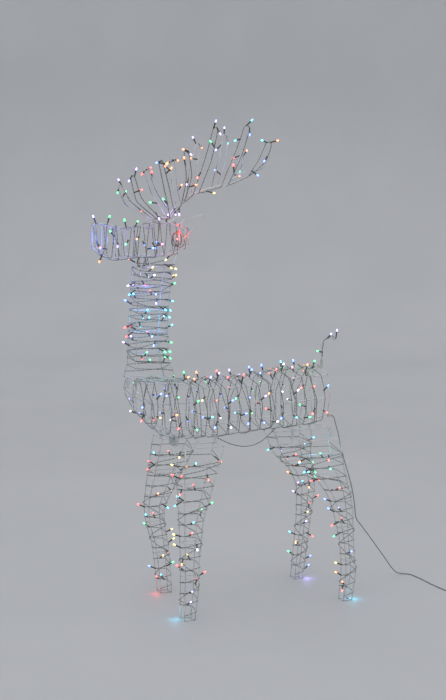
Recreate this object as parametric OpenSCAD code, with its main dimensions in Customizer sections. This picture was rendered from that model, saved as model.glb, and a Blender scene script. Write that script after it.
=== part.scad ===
// Light up yard reindeer
// A standing wire frame reindeer, wound with light strings. The frame comes apart into a torso,
// four plug-in legs, a neck with its head and ears, two plug-in antlers and a plug-in tail.
// A thin supply lead runs from the rump to a plug-in power adapter.
// Units are millimetres. +Z is up, the nose points along -Y and the left side is +X.
// The origin is on the ground, below the middle of the figure.

/* [Frame] */
// Diameter of the long rails of the frame
rail_diameter = 3.2; // [2.8:0.2:4]
// Diameter of the cross rods and hoops
hoop_diameter = 2.4; // [2:0.2:3.2]
// Diameter of the antler, ear and tail rods
antler_rod_diameter = 2.6; // [2.4:0.2:3.2]

/* [Plug-in joints] */
// Diameter of the pins that plug into the sockets
pin_diameter = 5; // [4:0.5:6]
// Radial gap between a pin and its socket
pin_gap = 0.08; // [0.02:0.01:0.1]
// Wall of a socket tube
socket_wall = 2; // [1.5:0.25:3]
// Depth to which a pin goes into its socket
pin_depth = 20; // [12:1:22]
// Gap between a pin collar and its socket at rest
collar_gap = 0.3; // [0.1:0.1:0.5]

/* [Light strings] */
// Diameter of the light string cable
cable_diameter = 2.4; // [1.8:0.2:3]
// Turns of cable round each leg
leg_turns = 14; // [10:1:18]
// Turns of cable round the neck
neck_turns = 16; // [12:1:20]
// Turns of cable round the head
head_turns = 9; // [7:1:11]
// Turns of cable round the torso
torso_turns = 17; // [14:1:20]

/* [Lamps] */
// Diameter of a lamp holder
holder_diameter = 4.4; // [3.8:0.2:5]
// Length of a lamp holder
holder_length = 19; // [14:1:22]
// Diameter of a lamp lens
lens_diameter = 5; // [4:0.2:5.4]
// Length of a lamp lens
lens_length = 8; // [6:0.5:10]

/* [Supply lead] */
// Diameter of the supply lead
lead_diameter = 3.25; // [3:0.25:3.5]
// Travel of the mode button on the power adapter
button_travel = 1.2; // [0.8:0.1:1.6]

/* [Hidden] */

fine = 40;
rr = rail_diameter / 2;
hr = hoop_diameter / 2;
ar = antler_rod_diameter / 2;
cr = cable_diameter / 2;
pr = pin_diameter / 2;
br = pr + pin_gap;
sr = br + socket_wall;
wrap_off = rr + cr + 0.3;
hold_r = holder_diameter / 2;
lens_r = lens_diameter / 2;
lead_r = lead_diameter / 2;
// The coil of the spare lead: middle radius, half width and height of its bundle
coil_mid = 19.5;
coil_w = 6.8;
coil_h = 26.6;

frame_color = [0.82, 0.83, 0.83];
cable_color = [0.08, 0.12, 0.09];
holder_color = [0.06, 0.10, 0.07];
lens_color = [0.92, 0.94, 0.98];
tie_color = [0.85, 0.86, 0.86];
adapter_color = [0.07, 0.07, 0.075];

// Leg stations, top to foot: [x, y, z, half width, half depth]
front_left = [[105, -108, 520, 45, 63], [130, -138, 365, 31, 40], [140, -150, 300, 26, 30],
    [152, -158, 190, 23, 23], [158, -163, 80, 21, 21], [162, -170, 1.5, 19, 17]];
front_right = [[-105, -108, 520, 45, 63], [-122, -133, 430, 38, 49], [-145, -158, 330, 26, 34],
    [-152, -170, 280, 23, 26], [-155, -162, 220, 22, 24], [-155, -148, 165, 21, 21],
    [-155, -137, 60, 19, 19], [-157, -133, 1.5, 19, 18]];
hind_left = [[105, 285, 520, 45, 66], [118, 308, 435, 38, 52], [132, 332, 385, 30, 38],
    [138, 352, 345, 25, 30], [142, 366, 290, 22, 24], [145, 379, 190, 17, 16],
    [147, 386, 90, 17, 17], [149, 374, 1.5, 17, 15]];
hind_right = [[-105, 285, 520, 45, 66], [-112, 303, 440, 40, 52], [-135, 352, 375, 26, 30],
    [-142, 372, 315, 21, 24], [-146, 364, 200, 19, 17], [-148, 352, 90, 18, 16],
    [-149, 343, 1.5, 17, 15]];

// Neck stations, bottom to top: [x, y, z, half width, half depth]
neck = [[0, -232, 724, 58, 66], [0, -236, 770, 45, 53], [0, -239, 830, 40, 50],
    [0, -237, 900, 38, 49], [0, -233, 960, 38, 48], [0, -224, 1040, 39, 51], [0, -214, 1101.5, 40, 54]];

// Head stations, back to nose: [y, z, half width, half height]
head = [[-112, 1156, 26, 24], [-160, 1154, 45, 46], [-225, 1150, 48, 51], [-290, 1140, 42, 42]];
muzzle = [[-290, 1140, 42, 42], [-345, 1137, 36, 48], [-385, 1154, 33, 46], [-408, 1160, 22, 32]];

// Torso stations, chest to rump: [y, z, half height, half width, shoulder height factor]
torso = [[-298, 690, 24, 60, 1], [-262, 658, 56, 86, 1], [-205, 631, 83, 106, 1], [-166, 624, 90, 114, 0.98],
    [-100, 622, 93, 119, 0.78], [-20, 624, 93, 119, 0.72], [60, 628, 92, 117, 0.72], [140, 636, 92, 117, 0.72],
    [205, 642, 96, 118, 0.72], [262, 646, 97, 116, 0.72], [316, 648, 94, 106, 0.74], [352, 652, 86, 76, 0.76]];
// Places of the hoops along the torso
hoops = [-298, -252, -196, -128, -60, 20, 100, 170, 236, 292, 352];

function mix3(a, b, t) = a + (b - a) * t;
function unit(v) = v / norm(v);
// Repeatable scatter between 0 and 1
function scatter(i, k) = ((i * 7919 + k * 10473 + 3571) % 10007) / 10007;

// Station of a limb at height z
function leg_at(st, z, i = 0) = (i >= len(st) - 2 || z >= st[i + 1][2]) ?
    mix3(st[i], st[i + 1], (z - st[i][2]) / (st[i + 1][2] - st[i][2])) : leg_at(st, z, i + 1);
function neck_at(z, i = 0) = (i >= len(neck) - 2 || z <= neck[i + 1][2]) ?
    mix3(neck[i], neck[i + 1], (z - neck[i][2]) / (neck[i + 1][2] - neck[i][2])) : neck_at(z, i + 1);
function head_at(st, y, i = 0) = (i >= len(st) - 2 || y >= st[i + 1][0]) ?
    mix3(st[i], st[i + 1], (y - st[i][0]) / (st[i + 1][0] - st[i][0])) : head_at(st, y, i + 1);
function torso_at(y, i = 0) = (i >= len(torso) - 2 || y <= torso[i + 1][0]) ?
    mix3(torso[i], torso[i + 1], (y - torso[i][0]) / (torso[i + 1][0] - torso[i][0])) : torso_at(y, i + 1);

cx = [1, 1, -1, -1];
cy = [1, -1, -1, 1];
// Corner k of a flat lying section, grown by g
function corner(s, k, g = 0) = [s[0] + cx[k] * (s[3] + g), s[1] + cy[k] * (s[4] + g), s[2]];
// Corner k of an upright section of the head, grown by g
function hcorner(s, k, g = 0) = [cx[k] * (s[2] + g), s[0], s[1] + cy[k] * (s[3] + g)];
// Corner k of the torso section, from the ridge round by the left side, grown by g
tx = [0, 0.74, 1, 0.76, 0, -0.76, -1, -0.74];
function torso_z(s, k) = k == 0 ? s[2] : (k == 1 || k == 7) ? s[2] * s[4] :
    (k == 2 || k == 6) ? 0 : (k == 3 || k == 5) ? -0.78 * s[2] : -s[2];
function tcorner(s, k, g = 0) = [tx[k] * (s[3] + g), s[0], s[1] + torso_z(s, k) * (s[2] + g) / s[2]];

// Turn of each rod about its own axis, which changes only where its seam lies
$roll = 0;
module rod(a, b, r) {
    v = b - a;
    translate(a) rotate([0, acos(v[2] / norm(v)), atan2(v[1], v[0])]) rotate([0, 0, $roll])
        cylinder(h = norm(v), r = r, $fn = fine);
}

// Straight rods through a list of points, with a ball at every bend
module chain(p, r) {
    for (i = [0:len(p) - 2]) {
        d = unit(p[i + 1] - p[i]);
        rod(p[i] + (i == 0 ? 0 : 0.3) * d, p[i + 1] - (i == len(p) - 2 ? 0 : 0.3) * d, r);
    }
    if (len(p) > 2) for (i = [1:len(p) - 2]) translate(p[i]) rotate([$roll * 0.7, $roll * 1.24, $roll * 1.73]) sphere(r = r * 1.08, $fn = fine);
}

// A round tube swept along a path as one closed solid, with one mitred ring at each point
function ring_dir(p, i) = let (n = len(p)) i == 0 ? unit(p[1] - p[0]) : i == n - 1 ? unit(p[i] - p[i - 1]) :
    unit(unit(p[i] - p[i - 1]) + unit(p[i + 1] - p[i]));
function side_of(d) = abs(d[2]) < 0.9 ? unit(cross(d, [0, 0, 1])) : unit(cross(d, [0, 1, 0]));
// The side direction is carried along the path so that the tube doesn't twist
function carry(p, i, u) = let (d = ring_dir(p, i), w = u - (u * d) * d) norm(w) < 0.05 ? side_of(d) : unit(w);
function sides(p) = [for (i = 0, u = side_of(ring_dir(p, 0)); i < len(p); i = i + 1,
    u = i < len(p) ? carry(p, i, u) : u) u];
module tube(p, r, n = 5) {
    s = sides(p);
    pts = [for (i = [0:len(p) - 1]) let (d = ring_dir(p, i), a = s[i], b = cross(d, a))
        for (k = [0:n - 1]) p[i] + r * (cos(360 * k / n) * a + sin(360 * k / n) * b)];
    m = len(p);
    faces = concat([[for (k = [0:n - 1]) k]],
        [for (i = [0:m - 2]) for (k = [0:n - 1]) let (k2 = (k + 1) % n)
            [i * n + k, (i + 1) * n + k, (i + 1) * n + k2]],
        [for (i = [0:m - 2]) for (k = [0:n - 1]) let (k2 = (k + 1) % n)
            [i * n + k, (i + 1) * n + k2, i * n + k2]],
        [[for (k = [n - 1:-1:0]) (m - 1) * n + k]]);
    polyhedron(points = pts, faces = faces, convexity = 10);
}

// A socket tube with its mouth at the start and a closed end, along +Z or -Z
module socket(p, up) {
    translate(p) mirror([0, 0, up ? 1 : 0]) difference() {
        cylinder(h = pin_depth + 8, r = sr, $fn = fine);
        translate([0, 0, -1]) cylinder(h = pin_depth + 3, r = br, $fn = fine);
    }
}

// A pin with a collar; the collar's face is the collar gap away from the socket's mouth
module pin(p, up) {
    translate(p) mirror([0, 0, up ? 0 : 1]) {
        translate([0, 0, -3 - collar_gap]) cylinder(h = 3, r = sr, $fn = fine);
        translate([0, 0, -3 - collar_gap]) cylinder(h = pin_depth + 3, r = pr, $fn = fine);
    }
}

// ---------- Torso ----------
function torso_rail(k) = [for (s = torso) tcorner(s, k)];
module torso_side(m) {
    // m is 0 for the left side and 1 for the right side
    k = m == 0 ? [1, 2, 3] : [7, 6, 5];
    color(frame_color) union() {
        for (c = k) chain(torso_rail(c), rr);
        for (y = hoops) {
            s = torso_at(y);
            t = torso_at(y > 300 ? y - 3.6 : y + 3.6);
            rod(tcorner(s, k[0]), tcorner(s, k[1]), hr);
            rod(tcorner(t, k[1]), tcorner(t, k[2]), hr);
        }
    }
}
module torso_left_side() torso_side(0);
module torso_right_side() mirror([1, 0, 0]) torso_side(0, $roll = 33);
module torso_back_panel() color(frame_color) union() {
    chain(torso_rail(0), rr);
    for (y = hoops) { s = torso_at(y); rod(tcorner(s, 7), tcorner(s, 0), hr); rod(tcorner(s, 0), tcorner(s, 1), hr); }
}
module torso_belly_panel() color(frame_color) union() {
    chain(torso_rail(4), rr);
    for (y = hoops) { s = torso_at(y); rod(tcorner(s, 5), tcorner(s, 4), hr); rod(tcorner(s, 4), tcorner(s, 3), hr); }
}

// Leg seats: two cross bars under the torso with a socket beside each bar for every pin
seat_z = 520 + collar_gap + 1.5;
module leg_seat(y0, half) color(frame_color) union() {
    for (sy = [-1, 1]) {
        w = max(84, torso_at(y0 + sy * (half - 5.5))[3] * 0.76 + 3);
        rod([-w, y0 + sy * (half - 5.5), 547], [w, y0 + sy * (half - 5.5), 547], hr + 0.5);
        for (sx = [-1, 1]) socket([sx * 76, y0 + sy * half, seat_z], false);
    }
    for (sx = [-1, 1]) rod([sx * 60, y0 - half + 5.5, 547], [sx * 60, y0 + half - 5.5, 547], hr);
}
module front_leg_seat() leg_seat(-108, 63);
module hind_leg_seat() leg_seat(285, 66);

module neck_seat() color(frame_color) union() {
    for (sx = [-1, 1]) {
        socket([sx * 38, -292.5, 720], true);
        socket([sx * 38, -171.5, 720], true);
    }
    rod([-50, -171.5, 695], [50, -171.5, 695], hr + 0.4);
    rod([-50, -292.5, 695], [50, -292.5, 695], hr + 0.4);
    // Struts out to the long rails of the torso
    for (sx = [-1, 1]) {
        rod([sx * 48, -292.5, 695], tcorner(torso_at(-292.5), sx > 0 ? 2 : 6), hr);
        rod([sx * 48, -171.5, 695], tcorner(torso_at(-171.5), sx > 0 ? 1 : 7), hr);
    }
}
module tail_socket() color(frame_color) union() {
    socket([0, 357.6, 758], true);
    rod([-20, 352.8, 736], [20, 352.8, 736], hr + 0.3);
}

// ---------- Light string paths ----------
function leg_wrap(st, n) = [for (i = [0:4 * n]) let (z = 500 - (500 - 16) * i / (4 * n) + 5 * (scatter(i, 1) - 0.5))
    corner(leg_at(st, z), (i + 1) % 4, wrap_off)];
function neck_wrap(n) = [for (i = [0:4 * n]) let (z = 742 + (1084 - 742) * i / (4 * n) + 4 * (scatter(i, 2) - 0.5))
    corner(neck_at(z), (i + 2) % 4, wrap_off)];
function face_at(y) = y > -290 ? head_at(head, y) : head_at(muzzle, y);
function head_wrap(n) = [for (i = [0:4 * n]) let (y = -124 - (402 - 124) * i / (4 * n))
    hcorner(face_at(y), i % 4, wrap_off)];
// One turn is held clear of the rear neck sockets
function torso_wrap(n) = [for (i = [0:8 * n]) let (y = -285 + (348 + 285) * i / (8 * n) + 9 * (scatter(i, 3) - 0.5) - (i > 20 && i < 27 ? 9 : 0))
    tcorner(torso_at(y), i % 8, wrap_off)];

// ---------- Lamps ----------
// A lamp is [base point, direction]
function lamp_dir(out, i, k) = let (t = unit([-out[1] + 0.01, out[0], 0.02]), w = unit(cross(out, t)))
    unit(out * (0.45 + 0.55 * scatter(i, k)) + t * 1.5 * (scatter(i, k + 1) - 0.5) + w * 1.5 * (scatter(i, k + 2) - 0.5));
function limb_lamps(p, first, step, k, mid) = [for (i = [first:step:len(p) - 2]) if (scatter(i, k + 9) < 0.75)
    let (q = mix3(p[i], p[i + 1], 0.25 + 0.5 * scatter(i, k + 4)), c = mid ? [0, -235, q[2]] : mix3(p[i], p[min(i + 2, len(p) - 1)], 0.5))
    [q, lamp_dir(unit([q[0] - c[0], q[1] - c[1], 0]), i, k)]];
function round_lamps(p, first, share, k, axis) = [for (i = [first:len(p) - 2]) if (scatter(i, k + 9) < share)
    let (q = mix3(p[i], p[i + 1], 0.25 + 0.5 * scatter(i, k + 4)))
    [q, lamp_dir(unit([q[0], 0, q[2] - axis]), i, k)]];
module aim(l) {
    d = l[1];
    translate(l[0]) rotate([0, acos(d[2]), atan2(d[1], d[0])]) children();
}
module holders(ls) color(holder_color) for (l = ls) aim(l) cylinder(h = holder_length, r = hold_r, $fn = fine);
module lenses(ls) color(lens_color) for (l = ls) aim(l) translate([0, 0, holder_length])
    cylinder(h = lens_length, r1 = lens_r, r2 = lens_r * 0.62, $fn = fine);

torso_path = torso_wrap(torso_turns);
neck_path = neck_wrap(neck_turns);
head_path = head_wrap(head_turns);
fl_path = leg_wrap(front_left, leg_turns);
fr_path = leg_wrap(front_right, leg_turns);
hl_path = leg_wrap(hind_left, leg_turns);
hr_path = leg_wrap(hind_right, leg_turns);

torso_lamps = [for (l = round_lamps(torso_path, 1, 1, 5, 630)) if (l[0][2] > 552 && (l[0][1] > -150 || l[0][2] < 690)
    && l[0][2] + 27 * l[1][2] > 557 && !(abs(l[0][0]) < 34 && l[0][1] > 318)) l];
neck_lamps = limb_lamps(neck_path, 5, 1, 11, true);
head_lamps = [for (l = round_lamps(head_path, 3, 0.8, 17, 1146)) if (l[0][2] > 1100 && !(l[0][2] > 1180 && abs(l[0][1] + 225) < 30)) l];
// A leg lamp looks away from the middle line of its leg
function leg_lamps(st, p, k) = [for (i = [2:len(p) - 3]) if (scatter(i, k + 9) < (p[i][2] < 330 ? 0.4 : st[0][1] > 0 ? 0.8 : 0.55))
    let (q = mix3(p[i], p[i + 1], 0.25 + 0.5 * scatter(i, k + 4)), s = leg_at(st, q[2]),
        d = lamp_dir(unit([q[0] - s[0], q[1] - s[1], 0]), i, k))
    if (q[2] > 34 || d[2] > -0.1) [q, q[2] > 34 ? d : unit([d[0], d[1], abs(d[2]) + 0.15])]];
fl_lamps = leg_lamps(front_left, fl_path, 23);
fr_lamps = leg_lamps(front_right, fr_path, 29);
hl_lamps = [for (l = leg_lamps(hind_left, hl_path, 31)) if (l[1][1] < 0.35) l];
hr_lamps = leg_lamps(hind_right, hr_path, 37);

// ---------- Torso string pieces ----------
module torso_light_string() color(cable_color) tube(torso_path, cr, 5);
module torso_lamp_holders() holders(torso_lamps);
module torso_lamp_lenses() lenses(torso_lamps);

// Cable ties: small square collars round a rail and the cable beside it
module cable_tie(p, ax) {
    translate(p) rotate(ax == 1 ? [90, 0, 0] : [0, 0, 0]) difference() {
        cylinder(h = 3, r = rr + 2.6, center = true, $fn = fine);
        cylinder(h = 4, r = rr + 0.05, center = true, $fn = fine);
    }
}
module torso_cable_ties() color(tie_color) for (k = [1, 7]) for (i = [4:9]) {
    s0 = torso[i];
    s1 = torso[i + 1];
    a = tcorner(s0, k);
    b = tcorner(s1, k);
    v = b - a;
    p = mix3(a, b, 0.5);
    translate(p) rotate([0, acos(v[2] / norm(v)), atan2(v[1], v[0])]) difference() {
        cylinder(h = 3, r = rr + 0.9, center = true, $fn = fine);
        cylinder(h = 4, r = rr, center = true, $fn = fine);
    }
}

link_route = [[44, -50, 545], [48, -20, 528], [44, 20, 509], [30, 70, 496], [0, 120, 494], [-30, 165, 503], [-44, 200, 524], [-46, 226, 545]];
module belly_link_cable() color(cable_color) tube(link_route, cr);
module string_junction_box() color([0.8, 0.84, 0.84, 0.6]) translate([37, -170, 531]) union() {
    cube([30, 16, 28], center = true);
    for (sx = [-1, 1]) translate([sx * 8, 0, -17]) cylinder(h = 4, r = 3, $fn = fine);
}

// ---------- Legs ----------
module leg_frame(st, half) color(frame_color) {
    sx = st[0][0] > 0 ? 1 : -1;
    union() {
        for (k = [0:3]) chain([for (s = st) corner(s, k)], rr);
        for (z = [520, 462, 404, 322, 232, 128, 1.5]) {
            s = leg_at(st, z);
            for (k = [0:3]) rod(corner(s, k), corner(s, (k + 1) % 4), hr);
        }
        for (sy = [-1, 1]) pin([sx * 76, st[0][1] + sy * half, seat_z], true);
    }
}
module front_left_leg_frame() leg_frame(front_left, 63);
module front_right_leg_frame() leg_frame(front_right, 63);
module hind_left_leg_frame() leg_frame(hind_left, 66);
module hind_right_leg_frame() leg_frame(hind_right, 66);
module front_left_leg_string() color(cable_color) tube(fl_path, cr, 4);
module front_right_leg_string() color(cable_color) tube(fr_path, cr, 4);
module hind_left_leg_string() color(cable_color) tube(hl_path, cr, 4);
module hind_right_leg_string() color(cable_color) tube(hr_path, cr, 4);
module front_left_leg_lamp_holders() holders(fl_lamps);
module front_left_leg_lamp_lenses() lenses(fl_lamps);
module front_right_leg_lamp_holders() holders(fr_lamps);
module front_right_leg_lamp_lenses() lenses(fr_lamps);
module hind_left_leg_lamp_holders() holders(hl_lamps);
module hind_left_leg_lamp_lenses() lenses(hl_lamps);
module hind_right_leg_lamp_holders() holders(hr_lamps);
module hind_right_leg_lamp_lenses() lenses(hr_lamps);

// ---------- Neck and head ----------
module neck_frame() color(frame_color) union() {
    for (k = [0:3]) chain([for (s = neck) corner(s, k)], rr);
    for (z = [724, 800, 866, 932, 1006, 1066, 1101.5]) {
        s = neck_at(z);
        for (k = [0:3]) rod(corner(s, k), corner(s, (k + 1) % 4), hr);
    }
    for (sx = [-1, 1]) {
        pin([sx * 38, -292.5, 720], false);
        pin([sx * 38, -171.5, 720], false);
    }
}
module head_frame($roll = 71) color(frame_color) union() {
    for (k = [0:3]) chain([for (s = head) hcorner(s, k)], rr);
    for (y = [-112, -148, -213, -290]) for (k = [0:3]) {
        s = head_at(head, y + (y == -290 ? 3.6 : -3.6) * (k % 2));
        rod(hcorner(s, k), hcorner(s, (k + 1) % 4), hr);
    }
}
module muzzle_frame($roll = 71) color(frame_color) union() {
    for (k = [0:3]) chain([for (s = muzzle) hcorner(s, k)], rr);
    for (y = [-332, -373, -408]) for (k = [0:3]) {
        s = head_at(muzzle, y + 3.6 * (k % 2));
        rod(hcorner(s, k), hcorner(s, (k + 1) % 4), hr);
    }
}
module ear(m) color(frame_color) chain([[m * 52, -172, 1186], [m * 66, -140, 1206], [m * 86, -92, 1226],
    [m * 88, -84, 1218], [m * 72, -108, 1184], [m * 50, -138, 1150]], ar);
module left_ear() ear(1);
module right_ear() ear(-1);
module antler_sockets() color(frame_color) union() {
    for (sx = [-1, 1]) socket([sx * 24, -230.7, 1208], true);
    rod([-48, -230.7, 1184], [48, -230.7, 1184], hr + 0.3);
    for (sx = [-1, 1]) rod([sx * 46.5, -230.7, 1184], [sx * 47.5, -230.7, 1200], hr);
}
module neck_light_string() color(cable_color) tube(neck_path, cr);
module head_light_string() color(cable_color) tube(head_path, cr);
module neck_lamp_holders() { holders(neck_lamps); holders(head_lamps); }
module neck_lamp_lenses() { lenses(neck_lamps); lenses(head_lamps); }

// ---------- Antlers ----------
// Main beam from the base to the end
left_beam = [[24, -230.7, 1213], [26, -205, 1213], [30, -172, 1216], [35, -156, 1244], [40, -132, 1265],
    [46, -110, 1284], [52, -52, 1306], [60, 8, 1317], [66, 52, 1336], [72, 108, 1367], [76, 142, 1384]];
right_beam = [[-24, -230.7, 1213], [-26, -200, 1213], [-30, -160, 1218], [-35, -140, 1246], [-40, -112, 1268],
    [-46, -84, 1288], [-52, -24, 1308], [-60, 34, 1322], [-66, 76, 1345], [-72, 118, 1366]];
// Tines: [foot on the beam, middle, tip, half width at the foot, half width at the tip]
left_tines = [
    [[26, -212, 1213], [38, -278, 1268], [50, -302, 1340], 12, 7],
    [[32, -168, 1226], [44, -190, 1300], [55, -214, 1386], 10, 7],
    [[39, -138, 1260], [50, -120, 1340], [60, -134, 1420], 10, 8],
    [[47, -98, 1288], [58, -62, 1390], [68, -40, 1490], 13, 8],
    [[58, -8, 1315], [66, 30, 1400], [76, 62, 1498], 13, 10],
    [[68, 72, 1347], [74, 110, 1390], [80, 134, 1450], 12, 10]];
right_tines = [
    [[-26, -214, 1213], [-38, -288, 1262], [-50, -308, 1314], 12, 7],
    [[-31, -156, 1226], [-42, -204, 1300], [-54, -222, 1368], 10, 7],
    [[-38, -122, 1260], [-48, -132, 1330], [-58, -134, 1400], 10, 7],
    [[-46, -84, 1288], [-56, -66, 1370], [-66, -44, 1452], 12, 8],
    [[-56, 8, 1313], [-64, 36, 1400], [-74, 50, 1482], 13, 9],
    [[-66, 76, 1345], [-72, 96, 1380], [-78, 112, 1418], 11, 9]];
// The two sides of a tine and its rounded end, in the plane of its beam
function tine_path(t) = let (d = unit(t[2] - t[1]), e = unit([0, d[2], -d[1]]), d0 = unit(t[1] - t[0]), e0 = unit([0, d0[2], -d0[1]]),
    em = unit(e + e0), wm = (t[3] + t[4]) / 2)
    [t[0] - e0 * t[3], t[1] - em * wm, t[2] - e * t[4] - d * t[4], t[2] - e * t[4] * 0.7 - d * t[4] * 0.3, t[2],
     t[2] + e * t[4] * 0.7 - d * t[4] * 0.3, t[2] + e * t[4] - d * t[4], t[1] + em * wm, t[0] + e0 * t[3]];
// A foot of a tine is moved to the nearest point of the beam
function near_seg(p, a, b) = let (t = max(0, min(1, ((p - a) * (b - a)) / ((b - a) * (b - a))))) mix3(a, b, t);
function nearest(p, b) = let (c = [for (i = [0:len(b) - 2]) near_seg(p, b[i], b[i + 1])], d = [for (q = c) norm(q - p)], m = min(d))
    [for (i = [0:len(c) - 1]) if (d[i] == m) c[i]][0];
// The tines are welded on the outer side of the beam
function landed(t, b) = let (q = tine_path(t), m = t[0][0] > 0 ? 1 : -1) [for (i = [0:8]) (i == 0 || i == 8) ?
    let (f = nearest(q[i], b), d = unit(q[i == 0 ? 1 : 7] - f)) f - 3 * d + [m * (rr + ar - 0.7) - (f - 3 * d)[0] + f[0], 0, 0] : q[i]];
module antler(b, ts) color(frame_color) union() {
    chain(b, rr);
    pin([b[0][0], b[0][1], 1208], false);
    for (t = ts) chain(landed(t, b), ar);
}
// The antler string runs along the outer side of the rods from tine to tine
function beside(p, m) = [for (q = p) q + [m * (ar + cr + 0.5), 0, 0]];
function antler_path(b, ts, m) = [for (t = ts) each beside(landed(t, b), m)];
function antler_lamps(p, k, m) = [for (i = [1:2:len(p) - 2])
    let (q = mix3(p[i], p[i + 1], 0.3 + 0.4 * scatter(i, k + 4)), a = 360 * scatter(i, k), f = 0.2 + 0.5 * scatter(i, k + 1))
    [q, unit([m * f, cos(a), sin(a)])]];
la_path = antler_path(left_beam, left_tines, 1);
ra_path = antler_path(right_beam, right_tines, -1);
la_lamps = antler_lamps(la_path, 41, 1);
ra_lamps = antler_lamps(ra_path, 43, -1);
function flip(p) = [for (q = p) [-q[0], q[1], q[2]]];
module left_antler_frame() mirror([1, 0, 0]) antler(flip(left_beam),
    [for (t = left_tines) [flip([t[0]])[0], flip([t[1]])[0], flip([t[2]])[0], t[3], t[4]]], $roll = 33);
module right_antler_frame() antler(right_beam, right_tines);
module left_antler_string() color(cable_color) tube(la_path, cr);
module right_antler_string() color(cable_color) tube(ra_path, cr);
module left_antler_lamp_holders() holders(la_lamps);
module left_antler_lamp_lenses() lenses(la_lamps);
module right_antler_lamp_holders() holders(ra_lamps);
module right_antler_lamp_lenses() lenses(ra_lamps);

// ---------- Tail ----------
tail_rail = [[0, 357.6, 760], [0, 358, 775], [0, 360, 820], [0, 392, 832], [0, 404, 822]];
tail_path = [[4.5, 358, 768], [4.5, 359, 795], [4.5, 364, 824], [4.5, 393, 837], [4.5, 408, 824], [2, 409, 832]];
tail_lamps = [[[4.5, 358, 784], unit([0.4, -1, 0.25])], [[2, 409, 831], unit([0.1, 0.1, 1])], [[4.5, 378, 830.5], unit([0.8, 0.1, 0.6])]];
module tail_frame() color(frame_color) union() {
    chain(tail_rail, ar);
    pin([0, 357.6, 758], false);
}
module tail_string() color(cable_color) tube(tail_path, cr);
module tail_lamp_holders() holders(tail_lamps);
module tail_lamp_lenses() lenses(tail_lamps);

// ---------- Supply lead and power adapter ----------
lead_route = [[60, 366, 585], [61, 373, 578], [66, 376, 560], [84, 377, 530], [102, 376, 495], [116, 382, 450], [130, 392, 400],
    [138, 401, 355], [142, 408, 305], [142, 414, 262], [118, 448, 226], [84, 494, 182], [48, 544, 132], [12, 594, 82],
    [-22, 640, 36], [-44, 674, 10], [-50, 700, 2.6], [-36, 718, 1.9], [20, 724, 1.9], [90, 722, 1.9], [160, 724, 1.9],
    [196, 728, 1.9], [225, 739, 1.9], [240, 755, 1.9], [244, 771, 1.9]];
adapter_route = [[243, 794, 24.6], [256, 806, 23.4], [269, 822, 20.5], [279, 834, 20.3], [286, 848, 22.4], [289.5, 858, 23.8],
    [290, 868, 24]];
module lead_clip() color(tie_color) union() {
    translate([60, 358, 585]) cube([16, 10, 12], center = true);
    translate([60, 363, 585]) rotate([-90, 0, 0]) cylinder(h = 3, r = lead_r + 1.5, $fn = fine);
}
module supply_lead() color(cable_color) tube(lead_route, lead_r, 8);
module supply_lead_coil() color(cable_color) translate([258, 775, 0]) rotate_extrude($fn = 96) translate([coil_mid, 0])
    polygon([[-coil_w + 2, 0], [coil_w - 2, 0], [coil_w, 2], [coil_w, coil_h - 2], [coil_w - 2, coil_h],
        [-coil_w + 2, coil_h], [-coil_w, coil_h - 2], [-coil_w, 2]]);
module coil_tie() color([0.1, 0.1, 0.1]) translate([258, 775 + coil_mid, coil_h / 2 + 0.8]) difference() {
    cube([4, 2 * coil_w + 2.4, coil_h + 1.6], center = true);
    cube([6, 2 * coil_w + 0.7, coil_h - 0.1], center = true);
}
module adapter_lead() color(cable_color) tube(adapter_route, lead_r, 8);
module adapter_body() color(adapter_color) difference() {
    union() {
        translate([290, 912, 25]) cube([50, 80, 50], center = true);
        translate([290, 872, 25]) rotate([90, 0, 0]) cylinder(h = 12, r = 5, $fn = fine);
    }
    // Well for the mode button
    translate([290, 896, 47]) cylinder(h = 4, r = 5.3, $fn = fine);
    // Way in for the lead
    translate([290, 866, 24]) rotate([90, 0, 0]) cylinder(h = 8, r = lead_r + 0.05, $fn = fine);
}
module adapter_blades() color([0.75, 0.76, 0.78]) for (s = [-1, 1])
    translate([315 + 8, 926 + s * 6.35, 25]) cube([16, 1.5, 6.4], center = true);
module adapter_button() color([0.55, 0.1, 0.08]) translate([290, 896, 47 + button_travel + 0.2]) cylinder(h = 4, r = 5, $fn = fine);

torso_left_side();
torso_right_side();
torso_back_panel();
torso_belly_panel();
front_leg_seat();
hind_leg_seat();
neck_seat();
tail_socket();
torso_light_string();
torso_lamp_holders();
torso_lamp_lenses();
torso_cable_ties();
belly_link_cable();
string_junction_box();
front_left_leg_frame();
front_left_leg_string();
front_left_leg_lamp_holders();
front_left_leg_lamp_lenses();
front_right_leg_frame();
front_right_leg_string();
front_right_leg_lamp_holders();
front_right_leg_lamp_lenses();
hind_left_leg_frame();
hind_left_leg_string();
hind_left_leg_lamp_holders();
hind_left_leg_lamp_lenses();
hind_right_leg_frame();
hind_right_leg_string();
hind_right_leg_lamp_holders();
hind_right_leg_lamp_lenses();
neck_frame();
head_frame();
muzzle_frame();
left_ear();
right_ear();
antler_sockets();
neck_light_string();
head_light_string();
neck_lamp_holders();
neck_lamp_lenses();
left_antler_frame();
left_antler_string();
left_antler_lamp_holders();
left_antler_lamp_lenses();
right_antler_frame();
right_antler_string();
right_antler_lamp_holders();
right_antler_lamp_lenses();
tail_frame();
tail_string();
tail_lamp_holders();
tail_lamp_lenses();
lead_clip();
supply_lead();
supply_lead_coil();
coil_tie();
adapter_lead();
adapter_body();
adapter_blades();
adapter_button();
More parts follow.
